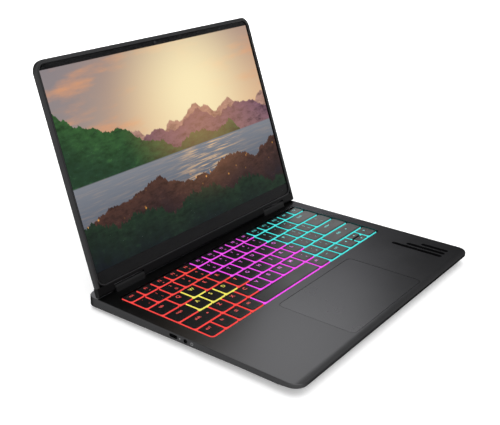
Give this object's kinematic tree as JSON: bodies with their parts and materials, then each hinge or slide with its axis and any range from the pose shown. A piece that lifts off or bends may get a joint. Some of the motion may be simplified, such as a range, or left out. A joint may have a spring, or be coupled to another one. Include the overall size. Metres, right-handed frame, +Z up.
{
  "type": "laptop computer",
  "caption": "Open clamshell laptop with a lit keyboard, touchpad and thin-bezel screen on two barrel hinges; lid, keys, touchpad and fans move.",
  "frame": {"origin": "on the desk below the middle of the open laptop's box", "axes": "+X to the user's right, +Y away from the user, +Z up"},
  "size_m": [0.313, 0.2913, 0.2217],
  "materials": {
    "shell_metal": "dark bead-blasted anodised",
    "bottom_metal": "dark matte anodised",
    "key_plastic": "matte, light shows at the skirts",
    "dome_rubber": "translucent silicone",
    "plate_metal": "stamped sheet",
    "touch_surface": "satin coated",
    "hinge_plastic": "matte",
    "hinge_steel": "turned and stamped",
    "foot_rubber": "matte",
    "screen_glass": "clear, glossy",
    "screen_mask": "black print behind the glass",
    "screen_panel": "lit picture",
    "webcam": "glossy lens",
    "port_metal": "stamped shell",
    "port_plastic": "moulded",
    "circuit_board": "solder mask",
    "chip": "moulded package",
    "copper_pipe": "flattened copper tube",
    "fin_metal": "folded sheet",
    "fan_plastic": "moulded",
    "battery_wrap": "wrapped cells",
    "speaker_plastic": "moulded"
  },
  "bodies": {
    "base": {"top_cover": "shell_metal", "bottom_cover": "bottom_metal", "dome_sheet": "dome_rubber", "keyboard_plate": "plate_metal", "touchpad_frame": "plate_metal", "hinge_cover_left": "hinge_plastic", "hinge_cover_right": "hinge_plastic", "hinge_bracket_left": "hinge_steel", "hinge_bracket_right": "hinge_steel", "bottom_screws": "hinge_steel", "front_foot": "foot_rubber", "rear_foot": "foot_rubber", "usb_c_port_left": "port_metal", "usb_c_port_right": "port_metal", "rear_usb_c_port": "port_metal", "rear_usb_a_port": "port_metal", "hdmi_port": "port_metal", "audio_jack": "port_plastic", "motherboard": "circuit_board", "drive_card": "circuit_board", "processor_chips": "chip", "heat_pipes": "copper_pipe", "fin_stack_left": "fin_metal", "fin_stack_right": "fin_metal", "fan_housing_left": "fan_plastic", "fan_housing_right": "fan_plastic", "battery_pack": "battery_wrap", "speaker_left": "speaker_plastic", "speaker_right": "speaker_plastic"},
    "lid": {"lid_cover": "shell_metal", "lid_chin": "hinge_plastic", "display_panel": "screen_panel", "display_glass": "screen_glass", "display_mask": "screen_mask", "webcam_module": "webcam", "lid_gasket": "foot_rubber", "hinge_arm_left": "hinge_steel", "hinge_arm_right": "hinge_steel"},
    "touchpad": {"touchpad": "touch_surface"},
    "fan_rotor_left": {"fan_rotor_left": "fan_plastic"},
    "fan_rotor_right": {"fan_rotor_right": "fan_plastic"},
    "function_keys": {"function_keys": "key_plastic"},
    "key_power": {"key_power": "key_plastic"},
    "number_keys": {"number_keys": "key_plastic"},
    "key_backspace": {"key_backspace": "key_plastic"},
    "key_tab": {"key_tab": "key_plastic"},
    "upper_letter_keys": {"upper_letter_keys": "key_plastic"},
    "key_backslash": {"key_backslash": "key_plastic"},
    "key_caps": {"key_caps": "key_plastic"},
    "home_letter_keys": {"home_letter_keys": "key_plastic"},
    "key_enter": {"key_enter": "key_plastic"},
    "key_shift_left": {"key_shift_left": "key_plastic"},
    "lower_letter_keys": {"lower_letter_keys": "key_plastic"},
    "key_shift_right": {"key_shift_right": "key_plastic"},
    "modifier_keys": {"modifier_keys": "key_plastic"},
    "key_space": {"key_space": "key_plastic"},
    "key_arrow_left": {"key_arrow_left": "key_plastic"},
    "key_arrow_up": {"key_arrow_up": "key_plastic"},
    "key_arrow_down": {"key_arrow_down": "key_plastic"},
    "key_arrow_right": {"key_arrow_right": "key_plastic"}
  },
  "joints": [
    {"name": "lid_hinge", "type": "hinge", "parent": "base", "child": "lid", "pos_m": [0, 0.07167, 0.0154], "axis": [1, 0, 0], "range_deg": [-70.85, 109.15]},
    {"name": "touchpad_click", "type": "hinge", "parent": "base", "child": "touchpad", "pos_m": [0, -0.06523, 0.0096], "axis": [1, 0, 0], "range_deg": [0, 0.31], "stiffness_Nm_per_rad": 25},
    {"name": "fan_spin_left", "type": "hinge", "parent": "base", "child": "fan_rotor_left", "pos_m": [-0.103, 0.03387, 0.005], "axis": [0, 0, 1], "continuous": true},
    {"name": "fan_spin_right", "type": "hinge", "parent": "base", "child": "fan_rotor_right", "pos_m": [0.103, 0.03387, 0.005], "axis": [0, 0, 1], "continuous": true},
    {"name": "function_keys_press", "type": "slide", "parent": "base", "child": "function_keys", "axis": [0, 0, -1], "range_m": [0, 0.0013], "stiffness_N_per_m": 5600},
    {"name": "key_power_press", "type": "slide", "parent": "base", "child": "key_power", "axis": [0, 0, -1], "range_m": [0, 0.0013], "stiffness_N_per_m": 400},
    {"name": "number_keys_press", "type": "slide", "parent": "base", "child": "number_keys", "axis": [0, 0, -1], "range_m": [0, 0.0013], "stiffness_N_per_m": 5200},
    {"name": "key_backspace_press", "type": "slide", "parent": "base", "child": "key_backspace", "axis": [0, 0, -1], "range_m": [0, 0.0013], "stiffness_N_per_m": 400},
    {"name": "key_tab_press", "type": "slide", "parent": "base", "child": "key_tab", "axis": [0, 0, -1], "range_m": [0, 0.0013], "stiffness_N_per_m": 400},
    {"name": "upper_letter_keys_press", "type": "slide", "parent": "base", "child": "upper_letter_keys", "axis": [0, 0, -1], "range_m": [0, 0.0013], "stiffness_N_per_m": 4800},
    {"name": "key_backslash_press", "type": "slide", "parent": "base", "child": "key_backslash", "axis": [0, 0, -1], "range_m": [0, 0.0013], "stiffness_N_per_m": 400},
    {"name": "key_caps_press", "type": "slide", "parent": "base", "child": "key_caps", "axis": [0, 0, -1], "range_m": [0, 0.0013], "stiffness_N_per_m": 400},
    {"name": "home_letter_keys_press", "type": "slide", "parent": "base", "child": "home_letter_keys", "axis": [0, 0, -1], "range_m": [0, 0.0013], "stiffness_N_per_m": 4400},
    {"name": "key_enter_press", "type": "slide", "parent": "base", "child": "key_enter", "axis": [0, 0, -1], "range_m": [0, 0.0013], "stiffness_N_per_m": 400},
    {"name": "key_shift_left_press", "type": "slide", "parent": "base", "child": "key_shift_left", "axis": [0, 0, -1], "range_m": [0, 0.0013], "stiffness_N_per_m": 400},
    {"name": "lower_letter_keys_press", "type": "slide", "parent": "base", "child": "lower_letter_keys", "axis": [0, 0, -1], "range_m": [0, 0.0013], "stiffness_N_per_m": 4000},
    {"name": "key_shift_right_press", "type": "slide", "parent": "base", "child": "key_shift_right", "axis": [0, 0, -1], "range_m": [0, 0.0013], "stiffness_N_per_m": 400},
    {"name": "modifier_keys_press", "type": "slide", "parent": "base", "child": "modifier_keys", "axis": [0, 0, -1], "range_m": [0, 0.0013], "stiffness_N_per_m": 2800},
    {"name": "key_space_press", "type": "slide", "parent": "base", "child": "key_space", "axis": [0, 0, -1], "range_m": [0, 0.0013], "stiffness_N_per_m": 400},
    {"name": "key_arrow_left_press", "type": "slide", "parent": "base", "child": "key_arrow_left", "axis": [0, 0, -1], "range_m": [0, 0.0013], "stiffness_N_per_m": 400},
    {"name": "key_arrow_up_press", "type": "slide", "parent": "base", "child": "key_arrow_up", "axis": [0, 0, -1], "range_m": [0, 0.0013], "stiffness_N_per_m": 400},
    {"name": "key_arrow_down_press", "type": "slide", "parent": "base", "child": "key_arrow_down", "axis": [0, 0, -1], "range_m": [0, 0.0013], "stiffness_N_per_m": 400},
    {"name": "key_arrow_right_press", "type": "slide", "parent": "base", "child": "key_arrow_right", "axis": [0, 0, -1], "range_m": [0, 0.0013], "stiffness_N_per_m": 400}
  ]
}
